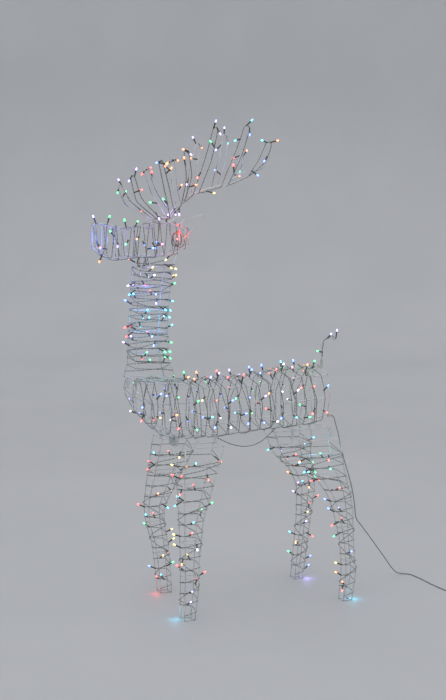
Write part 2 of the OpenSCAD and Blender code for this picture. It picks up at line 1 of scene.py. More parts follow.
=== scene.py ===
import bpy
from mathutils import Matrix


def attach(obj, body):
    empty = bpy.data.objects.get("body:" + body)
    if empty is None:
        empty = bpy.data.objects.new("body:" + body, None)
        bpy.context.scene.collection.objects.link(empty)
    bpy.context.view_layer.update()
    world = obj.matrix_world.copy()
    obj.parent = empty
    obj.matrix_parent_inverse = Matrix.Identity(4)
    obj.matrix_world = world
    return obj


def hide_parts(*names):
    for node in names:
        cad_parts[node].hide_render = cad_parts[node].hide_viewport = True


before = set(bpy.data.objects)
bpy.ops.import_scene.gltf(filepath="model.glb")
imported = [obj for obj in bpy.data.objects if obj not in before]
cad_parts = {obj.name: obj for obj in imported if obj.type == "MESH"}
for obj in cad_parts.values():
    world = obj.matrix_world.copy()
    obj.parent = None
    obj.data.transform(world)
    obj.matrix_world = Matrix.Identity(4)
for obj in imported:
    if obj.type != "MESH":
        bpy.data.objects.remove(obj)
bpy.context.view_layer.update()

import math

import bpy
import numpy as np

# ------------------------------------------------------------------ camera
cam_data = bpy.data.cameras.new("camera")
cam_data.sensor_width = 36.0
cam_data.sensor_fit = "AUTO"
cam_data.lens = 65.83
cam = bpy.data.objects.new("camera", cam_data)
bpy.context.scene.collection.objects.link(cam)
cam.location = (3.729, -1.495, 1.154)
cam.rotation_euler = (math.radians(85), 0.0, math.radians(68))
bpy.context.scene.camera = cam

MM = 0.001


# ------------------------------------------------------------------ small maths
def vec(*a):
    return np.array(a, float)


def unit(v):
    return v / max(np.linalg.norm(v), 1e-12)


def scat(i, k):
    return ((i * 7919 + k * 10473 + 3571) % 10007) / 10007


def wave(i, k):
    return 2 * scat(i, k) - 1


def fillet(pts, rad, seg=3, closed=False):
    """Rounds the corners of a path."""
    p = [np.asarray(q, float) for q in pts]
    n = len(p)
    out = [] if closed else [p[0]]
    for i in range(0 if closed else 1, n if closed else n - 1):
        a, b, c = p[i - 1], p[i], p[(i + 1) % n]
        la, lc = np.linalg.norm(a - b), np.linalg.norm(c - b)
        t = min(rad, 0.45 * la, 0.45 * lc)
        s, e = b + (a - b) / la * t, b + (c - b) / lc * t
        for k in range(seg + 1):
            u = k / seg
            out.append((1 - u) ** 2 * s + 2 * u * (1 - u) * b + u * u * e)
    if not closed:
        out.append(p[-1])
    return np.array(out)


def smooth_curve(pts, step):
    """A smooth curve through all the points (centripetal Catmull-Rom), with points about step apart."""
    p = np.array(pts, float)
    p = np.vstack([2 * p[0] - p[1], p, 2 * p[-1] - p[-2]])
    out = []
    for i in range(1, len(p) - 2):
        a, b, c, d = p[i - 1], p[i], p[i + 1], p[i + 2]
        t0 = 0.0
        t1 = t0 + max(np.linalg.norm(b - a), 1e-6) ** 0.5
        t2 = t1 + max(np.linalg.norm(c - b), 1e-6) ** 0.5
        t3 = t2 + max(np.linalg.norm(d - c), 1e-6) ** 0.5
        n = max(1, int(math.ceil(np.linalg.norm(c - b) / step)))
        for k in range(n):
            t = t1 + (t2 - t1) * k / n
            a1 = (t1 - t) / (t1 - t0) * a + (t - t0) / (t1 - t0) * b
            a2 = (t2 - t) / (t2 - t1) * b + (t - t1) / (t2 - t1) * c
            a3 = (t3 - t) / (t3 - t2) * c + (t - t2) / (t3 - t2) * d
            b1 = (t2 - t) / (t2 - t0) * a1 + (t - t0) / (t2 - t0) * a2
            b2 = (t3 - t) / (t3 - t1) * a2 + (t - t1) / (t3 - t1) * a3
            out.append((t2 - t) / (t2 - t1) * b1 + (t - t1) / (t2 - t1) * b2)
    out.append(p[-2])
    return np.array(out)


def respace(pts, step):
    p = np.array(pts, float)
    s = np.concatenate([[0], np.cumsum(np.linalg.norm(np.diff(p, axis=0), axis=1))])
    n = max(2, int(round(s[-1] / step)) + 1)
    at = np.linspace(0, s[-1], n)
    return np.stack([np.interp(at, s, p[:, k]) for k in range(3)], axis=1)


def frames(p, closed=False):
    """Tangent and two side directions at each point, carried along without twist."""
    p = np.array(p, float)
    n = len(p)
    if closed:
        t = np.roll(p, -1, axis=0) - np.roll(p, 1, axis=0)
    else:
        t = np.zeros_like(p)
        t[1:-1] = p[2:] - p[:-2]
        t[0], t[-1] = p[1] - p[0], p[-1] - p[-2]
    t = t / np.maximum(np.linalg.norm(t, axis=1)[:, None], 1e-12)
    u = np.zeros_like(p)
    ref = vec(0, 0, 1) if abs(t[0][2]) < 0.9 else vec(0, 1, 0)
    u[0] = unit(np.cross(t[0], ref))
    for i in range(1, n):
        w = u[i - 1] - (u[i - 1] @ t[i]) * t[i]
        u[i] = unit(w) if np.linalg.norm(w) > 0.05 else unit(np.cross(t[i], vec(0.31, 0.5, 0.8)))
    v = np.cross(t, u)
    if closed:
        # Spread the leftover twist round the loop
        w = u[-1] - (u[-1] @ t[0]) * t[0]
        ang = math.atan2(unit(w) @ v[0], unit(w) @ u[0])
        for i in range(n):
            a = -ang * i / n
            ui, vi = u[i].copy(), v[i].copy()
            u[i], v[i] = math.cos(a) * ui + math.sin(a) * vi, -math.sin(a) * ui + math.cos(a) * vi
    return t, u, v


# ------------------------------------------------------------------ mesh building
class Build:
    """Gathers points and faces of one piece, in millimetres, with one number per point that its material reads."""

    def __init__(self):
        self.v, self.f, self.k, self.m = [], [], [], []
        self.n = 0

    def add(self, verts, faces, k=0.0, mat=0):
        verts = np.asarray(verts, float)
        self.v.append(verts)
        self.f.extend([[j + self.n for j in f] for f in faces])
        self.k.append(np.full(len(verts), float(k)) if np.isscalar(k) else np.asarray(k, float))
        self.m.extend([mat] * len(faces))
        self.n += len(verts)

    def tube(self, path, r, n=10, closed=False, k=0.0, mat=0, taper_end=True, phase=0.0):
        p = np.array(path, float)
        r = np.full(len(p), float(r)) if np.isscalar(r) else np.asarray(r, float)
        k = np.full(len(p), float(k)) if np.isscalar(k) else np.asarray(k, float)
        if not closed and taper_end:
            # A small rounded edge at each cut end
            e = min(0.3 * r[0], 0.3 * np.linalg.norm(p[1] - p[0]))
            a = p[0] + unit(p[1] - p[0]) * e
            b = p[-1] + unit(p[-2] - p[-1]) * min(0.3 * r[-1], 0.3 * np.linalg.norm(p[-1] - p[-2]))
            p = np.vstack([p[0], a, p[1:-1], b, p[-1]])
            r = np.concatenate([[r[0] * 0.72], [r[0]], r[1:-1], [r[-1]], [r[-1] * 0.72]])
            k = np.concatenate([[k[0]], [k[0]], k[1:-1], [k[-1]], [k[-1]]])
        t, u, v = frames(p, closed)
        ang = np.arange(n) / n * 2 * math.pi + phase
        ring = (np.cos(ang)[None, :, None] * u[:, None, :] + np.sin(ang)[None, :, None] * v[:, None, :]) * r[:, None, None]
        verts = (p[:, None, :] + ring).reshape(-1, 3)
        m = len(p)
        faces = []
        for i in range(m if closed else m - 1):
            j = (i + 1) % m
            for q in range(n):
                q2 = (q + 1) % n
                faces.append([i * n + q, i * n + q2, j * n + q2, j * n + q])
        if not closed:
            faces.append([q for q in range(n)][::-1])
            faces.append([(m - 1) * n + q for q in range(n)])
        self.add(verts, faces, np.repeat(k, n), mat)

    def lathe(self, base, axis, profile, n=12, k=None, mat=0):
        """A body of revolution: profile is [(radius, height)], from the base along the axis."""
        z = unit(np.asarray(axis, float))
        x = unit(np.cross(z, vec(0, 0, 1) if abs(z[2]) < 0.9 else vec(0, 1, 0)))
        y = np.cross(z, x)
        ang = np.arange(n) / n * 2 * math.pi
        ring = np.cos(ang)[:, None] * x + np.sin(ang)[:, None] * y
        verts, faces, ks = [], [], []
        for i, (r, h) in enumerate(profile):
            for q in range(n):
                verts.append(base + z * h + ring[q] * r)
                ks.append(0.0 if k is None else k[i])
        m = len(profile)
        for i in range(m - 1):
            for q in range(n):
                q2 = (q + 1) % n
                faces.append([i * n + q, i * n + q2, (i + 1) * n + q2, (i + 1) * n + q])
        if profile[0][0] > 0.02:
            faces.append([q for q in range(n)][::-1])
        if profile[-1][0] > 0.02:
            faces.append([(m - 1) * n + q for q in range(n)])
        self.add(verts, faces, ks, mat)

    def nugget(self, at, axis, r=2.0, h=2.6):
        """A small weld bead where two rods meet."""
        self.lathe(np.asarray(at, float) - unit(np.asarray(axis, float)) * h / 2, axis,
                   [(r * 0.35, 0), (r * 0.85, h * 0.18), (r, h * 0.5), (r * 0.85, h * 0.82), (r * 0.35, h)],
                   n=7, k=[1, 1, 1, 1, 1])

    def make(self, name, mats, smooth=True):
        me = bpy.data.meshes.new(name)
        v = np.vstack(self.v) * MM
        me.from_pydata(v.tolist(), [], self.f)
        for mt in mats:
            me.materials.append(mt)
        me.polygons.foreach_set("material_index", self.m)
        if smooth:
            me.polygons.foreach_set("use_smooth", [True] * len(me.polygons))
        # One number per point: darker weld tint on rod beads, a painted highlight on the raised ribs of holders and
        # adapter shell, and the glow position on lenses
        at = me.attributes.new("weld_tint_painted_highlight_lens_glow", "FLOAT", "POINT")
        at.data.foreach_set("value", np.concatenate(self.k))
        me.validate()
        me.update()
        if smooth:
            try:
                me.set_sharp_from_angle(angle=math.radians(50))
            except Exception:
                pass
        o = bpy.data.objects.new(name, me)
        bpy.context.scene.collection.objects.link(o)
        return o


def place(o, body, slot, *nodes):
    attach(o, body)
    if nodes:
        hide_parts(*nodes)
    return o


# ------------------------------------------------------------------ materials
def srgb(r, g, b):
    f = lambda c: c / 12.92 if c <= 0.04045 else ((c + 0.055) / 1.055) ** 2.4
    return (f(r), f(g), f(b), 1.0)


def node(nt, kind, **kw):
    n = nt.nodes.new(kind)
    for a, b in kw.items():
        setattr(n, a, b)
    return n


def material(name, dark, light, scale=60.0, rough=(0.35, 0.5), bump=0.15, bump_scale=400.0, metallic=0.0, coat=0.0,
             weld_tint_painted_highlight_lens_glow=None, sheen=0.0, trans=0.0, stretch=(1, 1, 1), emission=None, strength=0.0, ior=1.5):
    m = bpy.data.materials.new(name)
    m.use_nodes = True
    nt = m.node_tree
    nt.nodes.clear()
    out = node(nt, "ShaderNodeOutputMaterial")
    bs = node(nt, "ShaderNodeBsdfPrincipled")
    tc = node(nt, "ShaderNodeTexCoord")
    mp = node(nt, "ShaderNodeMapping")
    mp.inputs["Scale"].default_value = stretch
    nt.links.new(tc.outputs["Object"], mp.inputs["Vector"])
    n1 = node(nt, "ShaderNodeTexNoise")
    n1.inputs["Scale"].default_value = scale
    n1.inputs["Detail"].default_value = 5.0
    nt.links.new(mp.outputs["Vector"], n1.inputs["Vector"])
    ramp = node(nt, "ShaderNodeValToRGB")
    ramp.color_ramp.elements[0].position = 0.33
    ramp.color_ramp.elements[0].color = dark
    ramp.color_ramp.elements[1].position = 0.68
    ramp.color_ramp.elements[1].color = light
    nt.links.new(n1.outputs["Fac"], ramp.inputs["Fac"])
    col = ramp.outputs["Color"]
    # A second colour mixed in by the per-point number: the weld tint on rod beads, and a painted highlight on raised
    # ribs of holders and adapter shell
    if weld_tint_painted_highlight_lens_glow is not None:
        at = node(nt, "ShaderNodeAttribute", attribute_name="weld_tint_painted_highlight_lens_glow")
        mix = node(nt, "ShaderNodeMix", data_type="RGBA")
        mix.inputs["B"].default_value = weld_tint_painted_highlight_lens_glow
        nt.links.new(at.outputs["Fac"], mix.inputs["Factor"])
        nt.links.new(col, mix.inputs["A"])
        col = mix.outputs["Result"]
    nt.links.new(col, bs.inputs["Base Color"])
    rr = node(nt, "ShaderNodeMapRange")
    rr.inputs["To Min"].default_value = rough[0]
    rr.inputs["To Max"].default_value = rough[1]
    nt.links.new(n1.outputs["Fac"], rr.inputs["Value"])
    nt.links.new(rr.outputs["Result"], bs.inputs["Roughness"])
    n2 = node(nt, "ShaderNodeTexNoise")
    n2.inputs["Scale"].default_value = bump_scale
    n2.inputs["Detail"].default_value = 3.0
    nt.links.new(mp.outputs["Vector"], n2.inputs["Vector"])
    bp = node(nt, "ShaderNodeBump")
    bp.inputs["Strength"].default_value = bump
    bp.inputs["Distance"].default_value = 0.0006
    nt.links.new(n2.outputs["Fac"], bp.inputs["Height"])
    nt.links.new(bp.outputs["Normal"], bs.inputs["Normal"])
    bs.inputs["Metallic"].default_value = metallic
    bs.inputs["Coat Weight"].default_value = coat
    bs.inputs["Sheen Weight"].default_value = sheen
    bs.inputs["Transmission Weight"].default_value = trans
    bs.inputs["IOR"].default_value = ior
    if emission is not None:
        bs.inputs["Emission Color"].default_value = emission
        bs.inputs["Emission Strength"].default_value = strength
    nt.links.new(bs.outputs["BSDF"], out.inputs["Surface"])
    return m


rod_mat = material("coated_rod", srgb(0.72, 0.73, 0.74), srgb(0.86, 0.865, 0.87), scale=35, rough=(0.2, 0.4), bump=0.12,
                   bump_scale=900, metallic=0.2, coat=0.2, weld_tint_painted_highlight_lens_glow=srgb(0.60, 0.595, 0.58))
cable_mat = material("cable_pvc", srgb(0.36, 0.38, 0.36), srgb(0.45, 0.47, 0.445), scale=90, rough=(0.32, 0.5), bump=0.1,
                     bump_scale=700, weld_tint_painted_highlight_lens_glow=srgb(0.13, 0.15, 0.13))
# The holder's second, lighter colour is a painted highlight, laid on its raised ribs and collar
holder_mat = material("holder_plastic", srgb(0.19, 0.225, 0.20), srgb(0.27, 0.305, 0.28), scale=150, rough=(0.3, 0.45), bump=0.12,
                      bump_scale=1200, weld_tint_painted_highlight_lens_glow=srgb(0.26, 0.30, 0.27))
lead_mat = material("lead_pvc", srgb(0.47, 0.48, 0.47), srgb(0.55, 0.56, 0.545), scale=70, rough=(0.4, 0.56), bump=0.18,
                    bump_scale=500)
tie_mat = material("nylon_tie", srgb(0.74, 0.74, 0.72), srgb(0.90, 0.90, 0.88), scale=200, rough=(0.3, 0.42), bump=0.08,
                   bump_scale=900, trans=0.25)
black_tie_mat = material("black_tie", srgb(0.05, 0.05, 0.05), srgb(0.11, 0.11, 0.11), scale=200, rough=(0.45, 0.6), bump=0.25,
                         bump_scale=1500)
box_mat = material("clear_box", srgb(0.72, 0.77, 0.77), srgb(0.88, 0.91, 0.91), scale=40, rough=(0.12, 0.25), bump=0.05,
                   bump_scale=400, trans=0.7, coat=0.3)
# The shell's second, lighter colour is a painted highlight, laid on its grip ribs and the ring round the button
shell_mat = material("adapter_shell", srgb(0.045, 0.045, 0.05), srgb(0.085, 0.085, 0.09), scale=60, rough=(0.46, 0.62), bump=0.6,
                     bump_scale=2200, weld_tint_painted_highlight_lens_glow=srgb(0.14, 0.14, 0.145))
blade_mat = material("blade_metal", srgb(0.66, 0.67, 0.69), srgb(0.84, 0.84, 0.85), scale=120, rough=(0.22, 0.4), bump=0.2,
                     bump_scale=300, metallic=1.0, stretch=(0.1, 1, 6))
button_mat = material("button", srgb(0.42, 0.05, 0.04), srgb(0.58, 0.09, 0.07), scale=120, rough=(0.25, 0.38), bump=0.05,
                      bump_scale=600, coat=0.2)

LED = {
    "R": ((1.00, 0.030, 0.022), 4.2), "O": ((1.00, 0.19, 0.03), 3.6), "Y": ((0.95, 0.72, 0.16), 2.3),
    "G": ((0.02, 1.00, 0.24), 2.6), "C": ((0.05, 0.70, 1.00), 2.9), "B": ((0.05, 0.15, 1.00), 5.0),
    "L": ((0.42, 0.30, 1.00), 3.2), "W": ((0.86, 0.84, 1.00), 2.6), "P": ((1.00, 0.16, 0.46), 3.4),
}
led_names = list(LED)


def lens_material(key):
    """A lit lens: its root is deeply coloured, and its body is close to white where the light leaves it."""
    (r, g, b), s = LED[key]
    m = bpy.data.materials.new("lens_" + key.lower())
    m.use_nodes = True
    nt = m.node_tree
    nt.nodes.clear()
    out = node(nt, "ShaderNodeOutputMaterial")
    bs = node(nt, "ShaderNodeBsdfPrincipled")
    at = node(nt, "ShaderNodeAttribute", attribute_name="weld_tint_painted_highlight_lens_glow")
    tc = node(nt, "ShaderNodeTexCoord")
    nz = node(nt, "ShaderNodeTexNoise")
    nz.inputs["Scale"].default_value = 600
    nt.links.new(tc.outputs["Object"], nz.inputs["Vector"])
    ramp = node(nt, "ShaderNodeValToRGB")
    ramp.color_ramp.elements[0].position = 0.0
    ramp.color_ramp.elements[0].color = (r * 0.55, g * 0.55, b * 0.55, 1)
    ramp.color_ramp.elements[1].position = 1.0
    ramp.color_ramp.elements[1].color = (0.09 + 0.91 * r, 0.09 + 0.91 * g, 0.09 + 0.91 * b, 1)
    mid = ramp.color_ramp.elements.new(0.45)
    mid.color = (r, g, b, 1)
    nt.links.new(at.outputs["Fac"], ramp.inputs["Fac"])
    nt.links.new(ramp.outputs["Color"], bs.inputs["Emission Color"])
    mr = node(nt, "ShaderNodeMapRange")
    mr.inputs["To Min"].default_value = s * 0.85
    mr.inputs["To Max"].default_value = s * 1.15
    nt.links.new(nz.outputs["Fac"], mr.inputs["Value"])
    nt.links.new(mr.outputs["Result"], bs.inputs["Emission Strength"])
    bs.inputs["Base Color"].default_value = (0.5 + 0.4 * r, 0.5 + 0.4 * g, 0.5 + 0.4 * b, 1)
    bs.inputs["Roughness"].default_value = 0.12
    nt.links.new(bs.outputs["BSDF"], out.inputs["Surface"])
    return m


lens_mats = [lens_material(k) for k in led_names]

# ------------------------------------------------------------------ the supply lead
lead_route = [[60, 366, 585], [61, 373, 578], [66, 376, 560], [84, 377, 530], [102, 376, 495], [116, 382, 450], [130, 392, 400],
              [138, 401, 355], [142, 408, 305], [142, 414, 262], [118, 448, 226], [84, 494, 182], [48, 544, 132], [12, 594, 82],
              [-22, 640, 36], [-44, 674, 10], [-50, 700, 2.6], [-36, 718, 1.9], [20, 724, 1.9], [90, 722, 1.9], [160, 724, 1.9],
              [196, 728, 1.9], [225, 739, 1.9], [240, 755, 1.9], [244, 771, 1.9]]
adapter_route = [[243, 794, 24.6], [256, 806, 23.4], [269, 822, 20.5], [279, 834, 20.3], [286, 848, 22.4], [289.5, 858, 23.8],
                 [290, 868, 24], [290, 906, 25]]


def coil_lanes():
    rows = []
    for j in range(9):
        cols = [-5.03, -1.68, 1.68, 5.03] if j % 2 == 0 else [-3.35, 0.0, 3.35]
        if j % 2:
            cols = cols[::-1]
        rows += [(c, 1.75 + 2.9 * j) for c in cols]
    return rows


def coil_points():
    """The turns of the coil, wound clockwise, each stepping over to the next lane in the last part of its turn."""
    lanes = coil_lanes()
    pts = []
    start, turns = 188.0, len(lanes)
    total = (turns - 1) * 360 + 62
    for i in range(int(total / 15) + 1):
        a = i * 15.0
        j = int(a // 360)
        u = (a % 360) / 360
        c0 = lanes[min(j, turns - 1)]
        c1 = lanes[min(j + 1, turns - 1)]
        w = min(1.0, max(0.0, (u - 0.84) / 0.16))
        w = w * w * (3 - 2 * w)
        r = 19.5 + c0[0] + (c1[0] - c0[0]) * w
        z = c0[1] + (c1[1] - c0[1]) * w
        t = math.radians(start - a)
        pts.append([258 + r * math.cos(t), 775 + r * math.sin(t), z])
    return pts


coil = coil_points()
lead_pts = np.vstack([smooth_curve(lead_route[:-1] + coil[:2], 7.0)[:-1], np.array(coil[1:-2]),
                      smooth_curve(coil[-2:] + adapter_route[1:], 6.0)[1:]])
b = Build()
b.tube(lead_pts, 1.625, n=10)
supply = b.make("supply_lead_run", [lead_mat])
place(supply, "torso", "lead_sheath", "supply_lead", "supply_lead_coil", "adapter_lead")

# ------------------------------------------------------------------ the adapter
b = Build()


def rounded_box(b, lo, hi, r, k=0.0, mat=0, seg=3):
    """A box with rounded edges, as stacked rings along X."""
    lo, hi = vec(*lo), vec(*hi)

    def ring(x, inset):
        pts = []
        a, c = lo[1:] + inset, hi[1:] - inset
        rr = max(r - inset * 0.4, 0.5)
        for (sy, sz, a0) in ((1, 1, 0), (-1, 1, 90), (-1, -1, 180), (1, -1, 270)):
            cy = c[0] - rr if sy > 0 else a[0] + rr
            cz = c[1] - rr if sz > 0 else a[1] + rr
            for q in range(seg + 1):
                t = math.radians(a0 + 90 * q / seg)
                pts.append([x, cy + rr * math.cos(t), cz + rr * math.sin(t)])
        return pts

    xs = [(lo[0], r * 0.8), (lo[0] + r * 0.12, r * 0.42), (lo[0] + r * 0.4, r * 0.12), (lo[0] + r, 0)]
    xs += [((lo[0] + hi[0]) / 2 - 0.5, 0), ((lo[0] + hi[0]) / 2 - 0.35, 0.45), ((lo[0] + hi[0]) / 2 + 0.35, 0.45),
           ((lo[0] + hi[0]) / 2 + 0.5, 0)]
    xs += [(hi[0] - r, 0), (hi[0] - r * 0.4, r * 0.12), (hi[0] - r * 0.12, r * 0.42), (hi[0], r * 0.8)]
    rings = [ring(x, i) for x, i in xs]
    n = len(rings[0])
    verts = [p for rg in rings for p in rg]
    faces = []
    for i in range(len(rings) - 1):
        for q in range(n):
            q2 = (q + 1) % n
            faces.append([i * n + q, i * n + q2, (i + 1) * n + q2, (i + 1) * n + q])
    faces.append([q for q in range(n)][::-1])
    faces.append([(len(rings) - 1) * n + q for q in range(n)])
    b.add(verts, faces, k, mat)


rounded_box(b, (265, 872, 0), (315, 952, 50), 4.0)
# Grip ribs on both long sides, painted lighter as a highlight
for s in (-1, 1):
    for j in range(6):
        y = 918 + j * 4.6
        x = 290 + s * 24.6
        b.tube([[x, y, 9], [x, y, 41]], 0.9, n=6, k=0.6)
# Ring round the button's well, its top painted lighter as a highlight
b.lathe(vec(290, 896, 49.2), (0, 0, 1), [(8.2, 0), (8.2, 0.5), (7.8, 0.78), (6.0, 0.78), (5.5, 0.5), (5.5, 0.2)], n=28,
        k=[0.5, 0.6, 0.9, 0.9, 0.6, 0.3])
adapter = b.make("adapter_shell_moulded", [shell_mat])
place(adapter, "torso", "adapter_shell", "adapter_body")
# Ribbed strain relief at the adapter
b = Build()
prof = [(4.4, 0)]
for j in range(7):
    h = 2 + j * 3.2
    r = 4.4 - 0.34 * j
    prof += [(r, h), (r, h + 1.6), (r - 0.7, h + 1.9), (r - 0.7, h + 2.9)]
prof += [(2.1, 25.5), (1.75, 26.5)]
b.lathe(vec(290, 873, 24.5), (0, -1, -0.1), prof, n=18)
relief = b.make("adapter_strain_relief", [lead_mat])
place(relief, "torso", "lead_sheath")
# Plated blades with a hole near the end and bevelled tips
b = Build()
for s in (-1, 1):
    y = 926 + s * 6.35
    outline = [(314, 21.8), (328.5, 21.8), (331, 23.2), (331, 26.8), (328.5, 28.2), (314, 28.2)]
    hole = [(326 + 1.5 * math.cos(t), 25 + 1.5 * math.sin(t)) for t in np.arange(12) / 12 * 2 * math.pi]
    n, h = len(outline), len(hole)
    verts, faces = [], []
    for side in (-0.75, 0.75):
        verts += [[x, y + side, z] for x, z in outline] + [[x, y + side, z] for x, z in hole]
    m = n + h
    for side in (0, 1):
        o = side * m
        # Fan the face between the outline and the hole
        near = [min(range(h), key=lambda q: (hole[q][0] - x) ** 2 + (hole[q][1] - z) ** 2) for x, z in outline]
        for i in range(n):
            j = (i + 1) % n
            q, q2 = near[i], near[j]
            steps = []
            w = q
            while True:
                steps.append(w)
                if w == q2:
                    break
                w = (w + 1) % h
            if len(steps) > h // 2 + 2:
                steps = [q, q2] if q != q2 else [q]
            f = [o + i, o + j] + [o + n + w for w in reversed(steps)]
            faces.append(f if side else f[::-1])
    for i in range(n):
        j = (i + 1) % n
        faces.append([i, j, m + j, m + i])
    for i in range(h):
        j = (i + 1) % h
        faces.append([n + j, n + i, m + n + i, m + n + j])
    b.add(verts, faces)
blades = b.make("adapter_blades_drilled", [blade_mat], smooth=False)
place(blades, "torso", "blade_metal", "adapter_blades")
b = Build()
b.lathe(vec(290, 896, 48.4), (0, 0, 1), [(5.0, 0), (5.0, 3.2), (4.8, 3.7), (4.4, 4.0), (3.0, 3.75), (1.5, 3.6), (0.0, 3.55)], n=28)
button = b.make("adapter_button_dished", [button_mat])
place(button, "mode_button", "button", "adapter_button")
# Tie round the coil: a flat band with its twisted end
b = Build()
cy, hz = 794.5, 26.6
loop = fillet([[258, cy - 7.3, 0.55], [258, cy + 7.3, 0.55], [258, cy + 7.3, 27.2], [258, cy - 7.3, 27.2]], 3.0, 3, closed=True)
for dx in (-1.2, -0.4, 0.4, 1.2):
    b.tube(loop + vec(dx, 0, 0), 0.5, n=6, closed=True)
tw = [[258 + 1.2 * math.cos(t * 1.6), cy + 1.2 * math.sin(t * 1.6), 27.2 + 0.05 * t] for t in range(0, 8)]
b.tube([[258, cy, 27.0], [259, cy + 1, 27.6], [262, cy + 2, 27.7], [266, cy + 1, 27.6], [269, cy - 1, 27.4]], 0.6, n=6)
tie = b.make("coil_tie_band", [black_tie_mat])
place(tie, "torso", "black_tie", "coil_tie")

# ------------------------------------------------------------------ stations of the figure, as in the CAD
front_left = vec([105, -108, 520, 45, 63], [130, -138, 365, 31, 40], [140, -150, 300, 26, 30],
                 [152, -158, 190, 23, 23], [158, -163, 80, 21, 21], [162, -170, 1.5, 19, 17])
front_right = vec([-105, -108, 520, 45, 63], [-122, -133, 430, 38, 49], [-145, -158, 330, 26, 34],
                  [-152, -170, 280, 23, 26], [-155, -162, 220, 22, 24], [-155, -148, 165, 21, 21],
                  [-155, -137, 60, 19, 19], [-157, -133, 1.5, 19, 18])
hind_left = vec([105, 285, 520, 45, 66], [118, 308, 435, 38, 52], [132, 332, 385, 30, 38],
                [138, 352, 345, 25, 30], [142, 366, 290, 22, 24], [145, 379, 190, 17, 16],
                [147, 386, 90, 17, 17], [149, 374, 1.5, 17, 15])
hind_right = vec([-105, 285, 520, 45, 66], [-112, 303, 440, 40, 52], [-135, 352, 375, 26, 30],
                 [-142, 372, 315, 21, 24], [-146, 364, 200, 19, 17], [-148, 352, 90, 18, 16],
                 [-149, 343, 1.5, 17, 15])
neck = vec([0, -232, 724, 58, 66], [0, -236, 770, 45, 53], [0, -239, 830, 40, 50],
           [0, -237, 900, 38, 49], [0, -233, 960, 38, 48], [0, -224, 1040, 39, 51], [0, -214, 1101.5, 40, 54])
head = vec([-112, 1156, 26, 24], [-160, 1154, 45, 46], [-225, 1150, 48, 51], [-290, 1140, 42, 42])
muzzle = vec([-290, 1140, 42, 42], [-345, 1137, 36, 48], [-385, 1154, 33, 46], [-408, 1160, 22, 32])
torso = vec([-298, 690, 24, 60, 1], [-262, 658, 56, 86, 1], [-205, 631, 83, 106, 1], [-166, 624, 90, 114, 0.98],
            [-100, 622, 93, 119, 0.78], [-20, 624, 93, 119, 0.72], [60, 628, 92, 117, 0.72], [140, 636, 92, 117, 0.72],
            [205, 642, 96, 118, 0.72], [262, 646, 97, 116, 0.72], [316, 648, 94, 106, 0.74], [352, 652, 86, 76, 0.76])
hoops = [-298, -252, -196, -128, -60, 20, 100, 170, 236, 292, 352]
RR, HR, AR, CR, OFF = 1.6, 1.2, 1.3, 1.2, 3.1


def station(st, x, col):
    """The station at place x, where column col runs along the limb."""
    xs = st[:, col]
    o = np.argsort(xs)
    if x <= xs[o][0] or x >= xs[o][-1]:
        i = 0 if (x - xs[o][0]) * 1 <= 0 else len(st) - 2
        a, c = st[o][i], st[o][i + 1]
        return a + (c - a) * (x - a[col]) / (c[col] - a[col])
    return np.array([np.interp(x, xs[o], st[o][:, k]) for k in range(st.shape[1])])


CX, CY = [1, 1, -1, -1], [1, -1, -1, 1]
TX = [0, 0.74, 1, 0.76, 0, -0.76, -1, -0.74]


def corner(s, k, g=0.0):
    return vec(s[0] + CX[k] * (s[3] + g), s[1] + CY[k] * (s[4] + g), s[2])


def hcorner(s, k, g=0.0):
    return vec(CX[k] * (s[2] + g), s[0], s[1] + CY[k] * (s[3] + g))


def tz(s, k):
    return {0: s[2], 1: s[2] * s[4], 7: s[2] * s[4], 2: 0, 6: 0, 3: -0.78 * s[2], 5: -0.78 * s[2], 4: -s[2]}[k]


def tcorner(s, k, g=0.0):
    return vec(TX[k] * (s[3] + g), s[0], s[1] + tz(s, k) * (s[2] + g) / s[2])


def rail(b, pts, r, bend=18.0, k=0.0, n=10):
    b.tube(respace(fillet(pts, bend, 4), 14.0) if False else fillet(pts, bend, 3), r, n=n, k=k)


def pin(b, p, up):
    s = 1 if up else -1
    base = vec(*p) - vec(0, 0, s * 3.3)
    b.lathe(base, (0, 0, s), [(3.6, 0), (4.4, 0.5), (4.58, 1.0), (4.58, 2.4), (4.3, 2.95), (2.5, 3.0), (2.5, 21.6), (2.1, 22.6),
                              (1.4, 23.0)], n=18)


# ------------------------------------------------------------------ frames
INNER = -(RR + HR - 0.3)


def torso_panel(name, ks_rail, ks_arc, node_name):
    b = Build()
    for k in ks_rail:
        rail(b, [tcorner(s, k) for s in torso], RR, 26.0)
    for y in hoops:
        s = station(torso, y, 0)
        b.tube(fillet([tcorner(s, k, INNER if 0 < i < len(ks_arc) - 1 else INNER * 0.9) for i, k in enumerate(ks_arc)], 9.0, 3), HR, n=8)
        for k in ks_rail:
            b.nugget(tcorner(s, k, INNER * 0.5), (0, 1, 0), 1.9, 3.4)
    o = b.make(name, [rod_mat])
    place(o, "torso", "frame_coating", node_name)
    return o


torso_panel("torso_left_rods", [1, 2, 3], [1, 2, 3], "torso_left_side")
torso_panel("torso_right_rods", [7, 6, 5], [7, 6, 5], "torso_right_side")
torso_panel("torso_back_rods", [0], [7, 0, 1], "torso_back_panel")
torso_panel("torso_belly_rods", [4], [5, 4, 3], "torso_belly_panel")


def box_frame(b, st, col, corner_of, marks, r=RR, bend=20.0, axis=(0, 0, 1)):
    for k in range(4):
        rail(b, [corner_of(s, k) for s in st], r, bend)
    for m in marks:
        s = station(st, m, col)
        b.tube(fillet([corner_of(s, k, INNER) for k in range(4)], 5.0, 3, closed=True), HR, n=8, closed=True)
        for k in range(4):
            b.nugget(corner_of(s, k, INNER * 0.5), axis, 1.9, 3.4)


